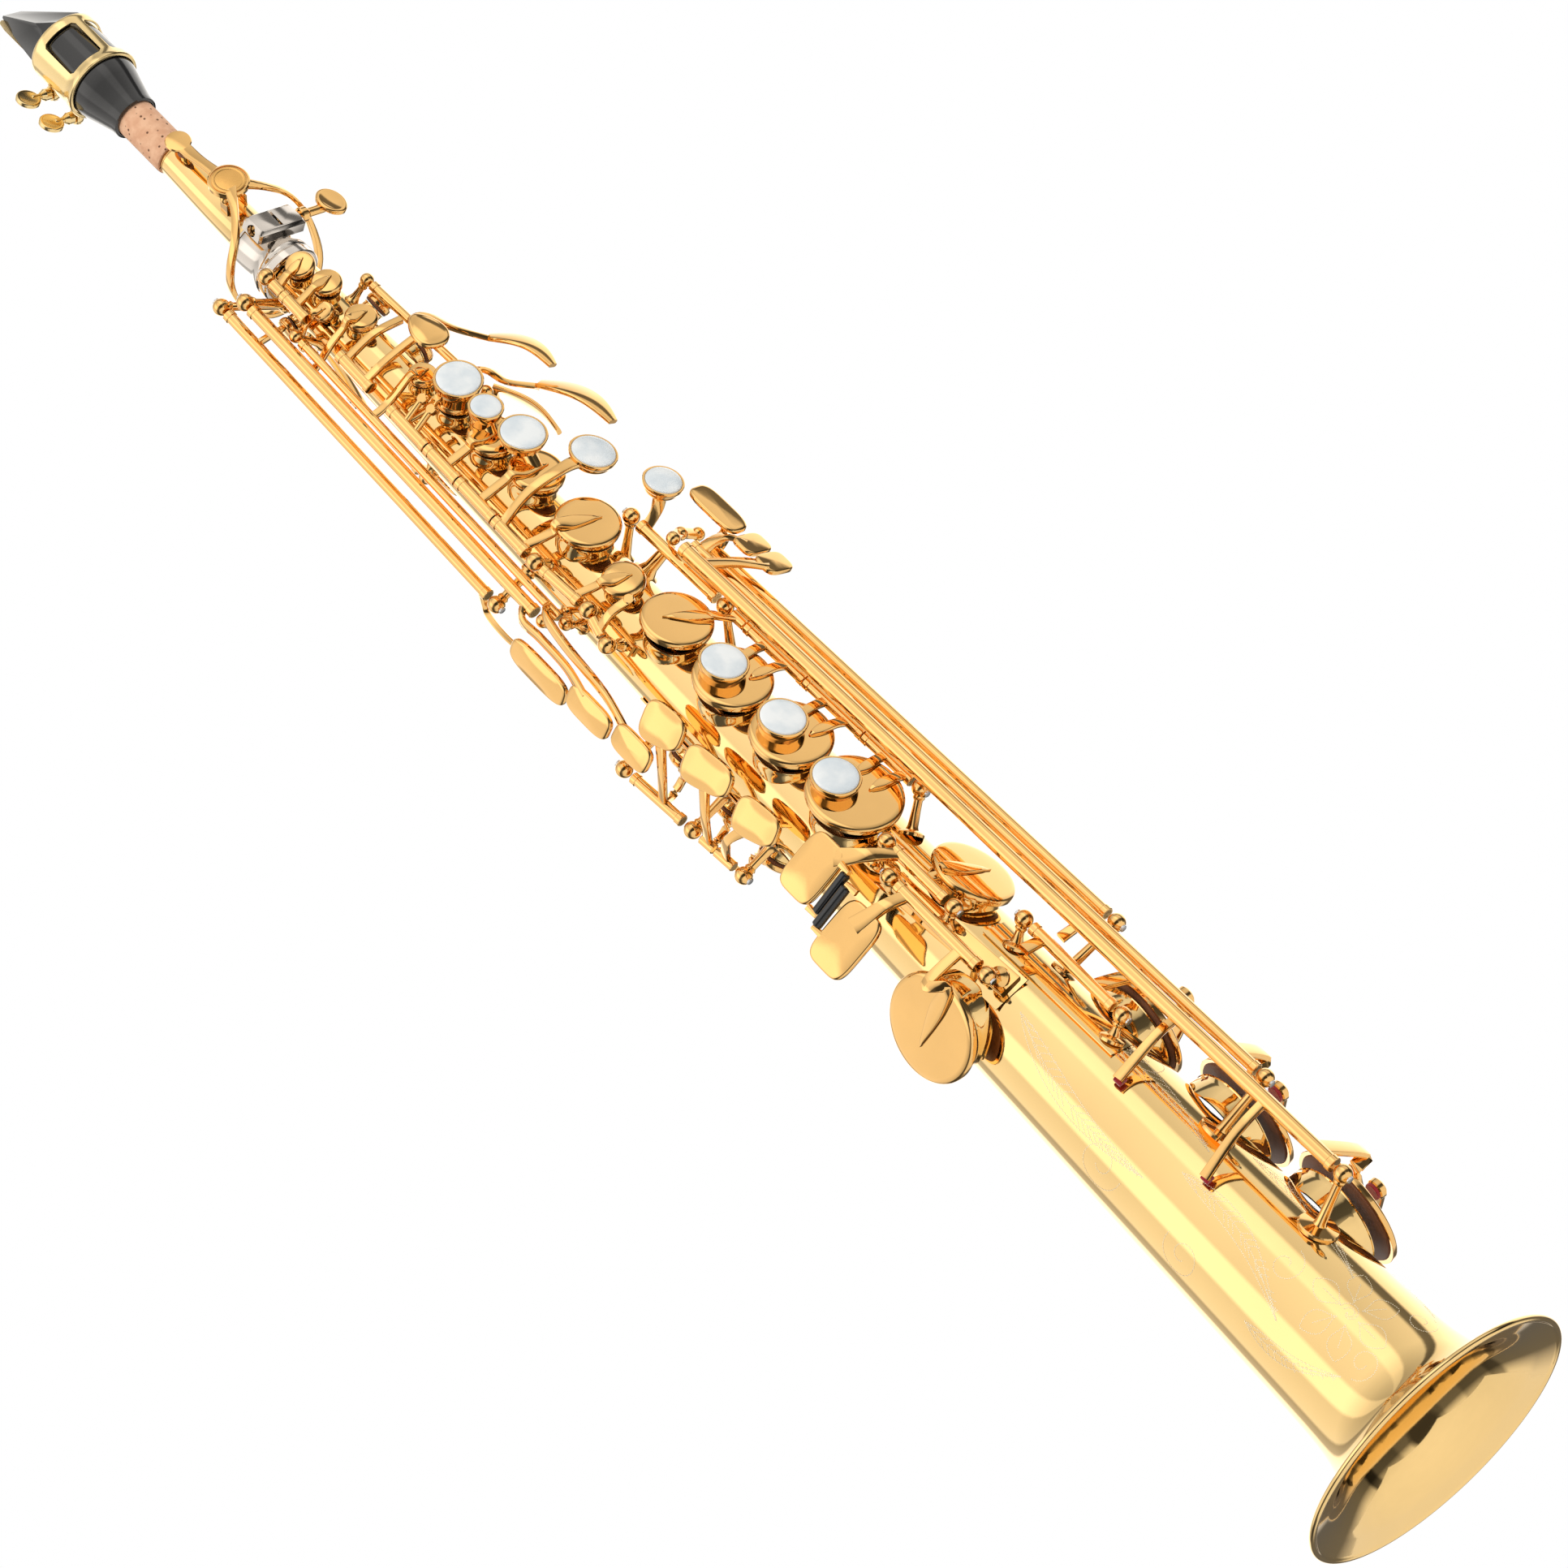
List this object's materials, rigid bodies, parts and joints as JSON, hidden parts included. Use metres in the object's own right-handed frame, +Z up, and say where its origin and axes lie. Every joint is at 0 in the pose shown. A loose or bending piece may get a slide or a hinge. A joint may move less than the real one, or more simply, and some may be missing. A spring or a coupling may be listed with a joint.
{
  "type": "soprano saxophone",
  "caption": "Straight soprano saxophone on its flared bell, with conical body, sprung keywork and levers, detachable neck, and a mouthpiece that slides on its cork.",
  "frame": {"origin": "centre of the bell rim's resting plane, on the bore's axis", "axes": "+Z up the bore towards the mouthpiece tip, -Y the way the finger pearls face, +X towards the palm keys"},
  "size_m": [0.096, 0.096, 0.695],
  "materials": {
    "body_lacquer": "clear lacquered yellow brass, polished",
    "key_lacquer": "gold lacquered brass, polished",
    "nickel_silver": "polished nickel silver",
    "ebonite": "polished black hard rubber",
    "cane": "dry cane",
    "cork": "natural cork",
    "pearl": "mother of pearl"
  },
  "bodies": {
    "body": {"body_tube": "body_lacquer", "left_stack_rib": "key_lacquer", "low_key_rib": "key_lacquer", "low_c_sharp_guard": "key_lacquer", "low_b_guard": "key_lacquer", "low_b_flat_guard": "key_lacquer", "thumb_hook": "key_lacquer", "strap_ring": "key_lacquer", "thumb_rest": "ebonite", "neck_receiver": "nickel_silver"},
    "neck": {"neck_tube": "body_lacquer", "neck_cork": "cork"},
    "mouthpiece": {"mouthpiece": "ebonite", "reed": "cane", "ligature": "key_lacquer"},
    "neck_octave_key": {"neck_octave_key": "key_lacquer"},
    "neck_screw": {"neck_screw": "key_lacquer"},
    "ligature_screw_lower": {"ligature_screw_lower": "key_lacquer"},
    "ligature_screw_upper": {"ligature_screw_upper": "key_lacquer"},
    "high_vent_key": {"high_vent_key": "key_lacquer"},
    "b_vent_key": {"b_vent_key": "key_lacquer"},
    "front_f_key": {"front_f_key": "key_lacquer"},
    "b_key": {"b_key": "key_lacquer", "b_pearl": "pearl"},
    "bis_key": {"bis_key": "key_lacquer", "bis_pearl": "pearl"},
    "a_key": {"a_key": "key_lacquer", "a_pearl": "pearl"},
    "g_key": {"g_key": "key_lacquer", "g_pearl": "pearl"},
    "g_sharp_key": {"g_sharp_key": "key_lacquer"},
    "g_sharp_lever": {"g_sharp_lever": "key_lacquer", "g_sharp_pearl": "pearl"},
    "stack_link_lever": {"stack_link_lever": "key_lacquer"},
    "f_sharp_key": {"f_sharp_key": "key_lacquer"},
    "f_key": {"f_key": "key_lacquer", "f_pearl": "pearl"},
    "e_key": {"e_key": "key_lacquer", "e_pearl": "pearl"},
    "d_key": {"d_key": "key_lacquer", "d_pearl": "pearl"},
    "high_e_key": {"high_e_key": "key_lacquer"},
    "side_c_key": {"side_c_key": "key_lacquer"},
    "side_b_flat_key": {"side_b_flat_key": "key_lacquer"},
    "high_f_sharp_key": {"high_f_sharp_key": "key_lacquer"},
    "fork_f_sharp_key": {"fork_f_sharp_key": "key_lacquer"},
    "high_g_key": {"high_g_key": "key_lacquer"},
    "palm_f_key": {"palm_f_key": "key_lacquer"},
    "palm_e_flat_key": {"palm_e_flat_key": "key_lacquer"},
    "palm_d_key": {"palm_d_key": "key_lacquer"},
    "low_b_flat_key": {"low_b_flat_key": "key_lacquer"},
    "low_b_key": {"low_b_key": "key_lacquer"},
    "low_c_sharp_lever": {"low_c_sharp_lever": "key_lacquer"},
    "e_flat_key": {"e_flat_key": "key_lacquer"},
    "low_c_key": {"low_c_key": "key_lacquer"},
    "low_c_sharp_key": {"low_c_sharp_key": "key_lacquer"},
    "octave_vent_key": {"octave_vent_key": "key_lacquer"},
    "octave_thumb_key": {"octave_thumb_key": "key_lacquer"},
    "e_flat_roller": {"e_flat_roller": "ebonite"},
    "low_c_roller": {"low_c_roller": "ebonite"}
  },
  "joints": [
    {"name": "high_vent_key_turn", "type": "hinge", "parent": "body", "child": "high_vent_key", "pos_m": [-0.01269, -0.0136, 0.539], "axis": [0.0249, 0.0127, 0.9996], "range_deg": [0, 6.24], "stiffness_Nm_per_rad": 0.03, "springref_deg": -8.59},
    {"name": "b_vent_key_turn", "type": "hinge", "parent": "body", "child": "b_vent_key", "pos_m": [-0.01269, -0.0136, 0.539], "axis": [0.0249, 0.0127, 0.9996], "range_deg": [0, 5.04], "stiffness_Nm_per_rad": 0.03, "springref_deg": -8.59},
    {"name": "front_f_key_turn", "type": "hinge", "parent": "body", "child": "front_f_key", "pos_m": [-0.01269, -0.0136, 0.539], "axis": [0.0249, 0.0127, 0.9996], "range_deg": [0, 6], "stiffness_Nm_per_rad": 0.03, "springref_deg": -8.59},
    {"name": "b_key_turn", "type": "hinge", "parent": "body", "child": "b_key", "pos_m": [-0.01269, -0.0136, 0.539], "axis": [0.0249, 0.0127, 0.9996], "range_deg": [0, 5.62], "stiffness_Nm_per_rad": 0.03, "springref_deg": -8.59},
    {"name": "bis_key_turn", "type": "hinge", "parent": "body", "child": "bis_key", "pos_m": [-0.01269, -0.0136, 0.539], "axis": [0.0249, 0.0127, 0.9996], "range_deg": [0, 5.59], "stiffness_Nm_per_rad": 0.03, "springref_deg": -8.59},
    {"name": "a_key_turn", "type": "hinge", "parent": "body", "child": "a_key", "pos_m": [-0.01269, -0.0136, 0.539], "axis": [0.0249, 0.0127, 0.9996], "range_deg": [0, 4.87], "stiffness_Nm_per_rad": 0.03, "springref_deg": -8.59},
    {"name": "g_key_turn", "type": "hinge", "parent": "body", "child": "g_key", "pos_m": [-0.01269, -0.0136, 0.539], "axis": [0.0249, 0.0127, 0.9996], "range_deg": [0, 5.93], "stiffness_Nm_per_rad": 0.03, "springref_deg": -8.59},
    {"name": "g_sharp_key_turn", "type": "hinge", "parent": "body", "child": "g_sharp_key", "pos_m": [-0.01625, -0.01542, 0.3962], "axis": [0.0443, -0.0326, -0.9985], "range_deg": [0, 6.87], "stiffness_Nm_per_rad": 0.03, "springref_deg": -8.59},
    {"name": "g_sharp_lever_turn", "type": "hinge", "parent": "body", "child": "g_sharp_lever", "pos_m": [0.01741, -0.01681, 0.3908], "axis": [0.0039, 0.0573, 0.9984], "range_deg": [0, 9.93], "stiffness_Nm_per_rad": 0.03, "springref_deg": -8.59},
    {"name": "stack_link_lever_turn", "type": "hinge", "parent": "body", "child": "stack_link_lever", "pos_m": [-0.01514, -0.01624, 0.3712], "axis": [0.2311, -0.1, 0.9678], "range_deg": [0, 4.95], "stiffness_Nm_per_rad": 0.03, "springref_deg": -8.59},
    {"name": "f_sharp_key_turn", "type": "hinge", "parent": "body", "child": "f_sharp_key", "pos_m": [0.01723, -0.01947, 0.3444], "axis": [0.0256, -0.0247, -0.9994], "range_deg": [0, 8.53], "stiffness_Nm_per_rad": 0.03, "springref_deg": -8.59},
    {"name": "f_key_turn", "type": "hinge", "parent": "body", "child": "f_key", "pos_m": [0.01723, -0.01947, 0.3444], "axis": [0.0256, -0.0247, -0.9994], "range_deg": [0, 8.29], "stiffness_Nm_per_rad": 0.03, "springref_deg": -8.59},
    {"name": "e_key_turn", "type": "hinge", "parent": "body", "child": "e_key", "pos_m": [0.01723, -0.01947, 0.3444], "axis": [0.0256, -0.0247, -0.9994], "range_deg": [0, 8.14], "stiffness_Nm_per_rad": 0.03, "springref_deg": -8.59},
    {"name": "d_key_turn", "type": "hinge", "parent": "body", "child": "d_key", "pos_m": [0.01723, -0.01947, 0.3444], "axis": [0.0256, -0.0247, -0.9994], "range_deg": [0, 7.99], "stiffness_Nm_per_rad": 0.03, "springref_deg": -8.59},
    {"name": "high_e_key_turn", "type": "hinge", "parent": "body", "child": "high_e_key", "pos_m": [-0.02382, 0.00293, 0.5492], "axis": [-0.0076, 0.0357, -0.9993], "range_deg": [0, 8.54], "stiffness_Nm_per_rad": 0.03, "springref_deg": -8.59},
    {"name": "side_c_key_turn", "type": "hinge", "parent": "body", "child": "side_c_key", "pos_m": [-0.02076, -0.00595, 0.54], "axis": [-0.0097, 0.0232, -0.9997], "range_deg": [0, 4.24], "stiffness_Nm_per_rad": 0.03, "springref_deg": -8.59},
    {"name": "side_b_flat_key_turn", "type": "hinge", "parent": "body", "child": "side_b_flat_key", "pos_m": [-0.01669, -0.00674, 0.5185], "axis": [-0.0153, 0.0095, -0.9998], "range_deg": [0, 4.76], "stiffness_Nm_per_rad": 0.03, "springref_deg": -8.59},
    {"name": "high_f_sharp_key_turn", "type": "hinge", "parent": "body", "child": "high_f_sharp_key", "pos_m": [-0.03047, 0.01293, 0.3336], "axis": [-0.0595, 0.0253, 0.9979], "range_deg": [0, 5.99], "stiffness_Nm_per_rad": 0.03, "springref_deg": -8.59},
    {"name": "fork_f_sharp_key_turn", "type": "hinge", "parent": "body", "child": "fork_f_sharp_key", "pos_m": [-0.03047, 0.01293, 0.3336], "axis": [-0.0595, 0.0253, 0.9979], "range_deg": [0, 6.52], "stiffness_Nm_per_rad": 0.03, "springref_deg": -8.59},
    {"name": "high_g_key_turn", "type": "hinge", "parent": "body", "child": "high_g_key", "pos_m": [-0.03047, 0.01293, 0.3336], "axis": [-0.0595, 0.0253, 0.9979], "range_deg": [0, 7.03], "stiffness_Nm_per_rad": 0.03, "springref_deg": -8.59},
    {"name": "palm_f_key_turn", "type": "hinge", "parent": "body", "child": "palm_f_key", "pos_m": [0.01244, -0.01202, 0.5195], "axis": [0.0228, -0.022, -0.9995], "range_deg": [0, 13.9], "stiffness_Nm_per_rad": 0.03, "springref_deg": -8.59},
    {"name": "palm_e_flat_key_turn", "type": "hinge", "parent": "body", "child": "palm_e_flat_key", "pos_m": [0.01244, -0.01202, 0.5195], "axis": [0.0228, -0.022, -0.9995], "range_deg": [0, 7.39], "stiffness_Nm_per_rad": 0.03, "springref_deg": -8.59},
    {"name": "palm_d_key_turn", "type": "hinge", "parent": "body", "child": "palm_d_key", "pos_m": [0.01308, 0.01022, 0.489], "axis": [-0.0239, -0.0186, 0.9995], "range_deg": [0, 11.15], "stiffness_Nm_per_rad": 0.03, "springref_deg": -8.59},
    {"name": "low_b_flat_key_turn", "type": "hinge", "parent": "body", "child": "low_b_flat_key", "pos_m": [0.01844, -0.02492, 0.3695], "axis": [-0.0052, 0.0447, 0.999], "range_deg": [0, 5.06], "stiffness_Nm_per_rad": 0.08, "springref_deg": -8.59},
    {"name": "low_b_key_turn", "type": "hinge", "parent": "body", "child": "low_b_key", "pos_m": [0.02427, -0.01896, 0.373], "axis": [-0.0065, 0.0585, 0.9983], "range_deg": [0, 5.88], "stiffness_Nm_per_rad": 0.08, "springref_deg": -8.59},
    {"name": "low_c_sharp_lever_turn", "type": "hinge", "parent": "body", "child": "low_c_sharp_lever", "pos_m": [0.03038, -0.01482, 0.372], "axis": [-0.0061, 0.0603, 0.9982], "range_deg": [0, 15.18], "stiffness_Nm_per_rad": 0.04, "springref_deg": -8.59},
    {"name": "e_flat_key_turn", "type": "hinge", "parent": "body", "child": "e_flat_key", "pos_m": [-0.00279, -0.02565, 0.2436], "axis": [-0.0023, -0.0354, -0.9994], "range_deg": [0, 8.56], "stiffness_Nm_per_rad": 0.03, "springref_deg": -8.59},
    {"name": "low_c_key_turn", "type": "hinge", "parent": "body", "child": "low_c_key", "pos_m": [-0.01028, -0.02518, 0.2335], "axis": [-0.0074, -0.0328, -0.9994], "range_deg": [0, 7.32], "stiffness_Nm_per_rad": 0.05, "springref_deg": -8.59},
    {"name": "low_c_sharp_key_turn", "type": "hinge", "parent": "body", "child": "low_c_sharp_key", "pos_m": [0.01192, -0.02445, 0.1978], "axis": [0.006, -0.0123, -0.9999], "range_deg": [0, 6.06], "stiffness_Nm_per_rad": 0.05, "springref_deg": -8.59},
    {"name": "octave_vent_key_turn", "type": "hinge", "parent": "body", "child": "octave_vent_key", "pos_m": [-0.0076, 0.01316, 0.527], "axis": [-0.0177, 0.0306, -0.9994], "range_deg": [0, 1.9], "stiffness_Nm_per_rad": 0.03, "springref_deg": -8.59},
    {"name": "octave_thumb_key_turn", "type": "hinge", "parent": "body", "child": "octave_thumb_key", "pos_m": [-0.0076, 0.01316, 0.527], "axis": [-0.0177, 0.0306, -0.9994], "range_deg": [0, 11.49], "stiffness_Nm_per_rad": 0.03, "springref_deg": -8.59},
    {"name": "neck_turn", "type": "hinge", "parent": "body", "child": "neck", "pos_m": [0, 0, 0.555], "axis": [0, 0, 1], "range_deg": [-3, 3]},
    {"name": "mouthpiece_slide", "type": "slide", "parent": "neck", "child": "mouthpiece", "axis": [0, 0, 1], "range_m": [-0.01, 0.003]},
    {"name": "neck_octave_key_turn", "type": "hinge", "parent": "neck", "child": "neck_octave_key", "pos_m": [0, -0.0122, 0.574], "axis": [1, 0, 0], "range_deg": [0, 2.6], "stiffness_Nm_per_rad": 0.03, "springref_deg": -8.59},
    {"name": "neck_screw_turn", "type": "hinge", "parent": "body", "child": "neck_screw", "pos_m": [0.00359, -0.01103, 0.557], "axis": [0.9511, 0.309, 0], "continuous": true},
    {"name": "ligature_screw_lower_turn", "type": "hinge", "parent": "mouthpiece", "child": "ligature_screw_lower", "pos_m": [-0.00527, 0.01447, 0.6506], "axis": [0.9397, 0.342, 0], "continuous": true},
    {"name": "ligature_screw_upper_turn", "type": "hinge", "parent": "mouthpiece", "child": "ligature_screw_upper", "pos_m": [-0.00527, 0.01447, 0.6636], "axis": [0.9397, 0.342, 0], "continuous": true},
    {"name": "e_flat_roller_turn", "type": "hinge", "parent": "e_flat_key", "child": "e_flat_roller", "pos_m": [-0.02559, -0.02147, 0.2416], "axis": [0.7193, -0.6947, 0], "continuous": true},
    {"name": "low_c_roller_turn", "type": "hinge", "parent": "low_c_key", "child": "low_c_roller", "pos_m": [-0.02851, -0.02108, 0.23808], "axis": [0.7352, -0.6779, -0.0036], "continuous": true}
  ],
  "couplings": [
    {"joint": "low_c_sharp_key_turn", "follows": "low_c_sharp_lever_turn", "ratio": 0.39881},
    {"joint": "g_sharp_key_turn", "follows": "g_sharp_lever_turn", "ratio": 0.69115},
    {"joint": "f_sharp_key_turn", "follows": "f_key_turn", "ratio": 1.0279},
    {"joint": "b_vent_key_turn", "follows": "b_key_turn", "ratio": 0.8959},
    {"joint": "neck_octave_key_turn", "follows": "octave_thumb_key_turn", "ratio": 0.22606}
  ]
}
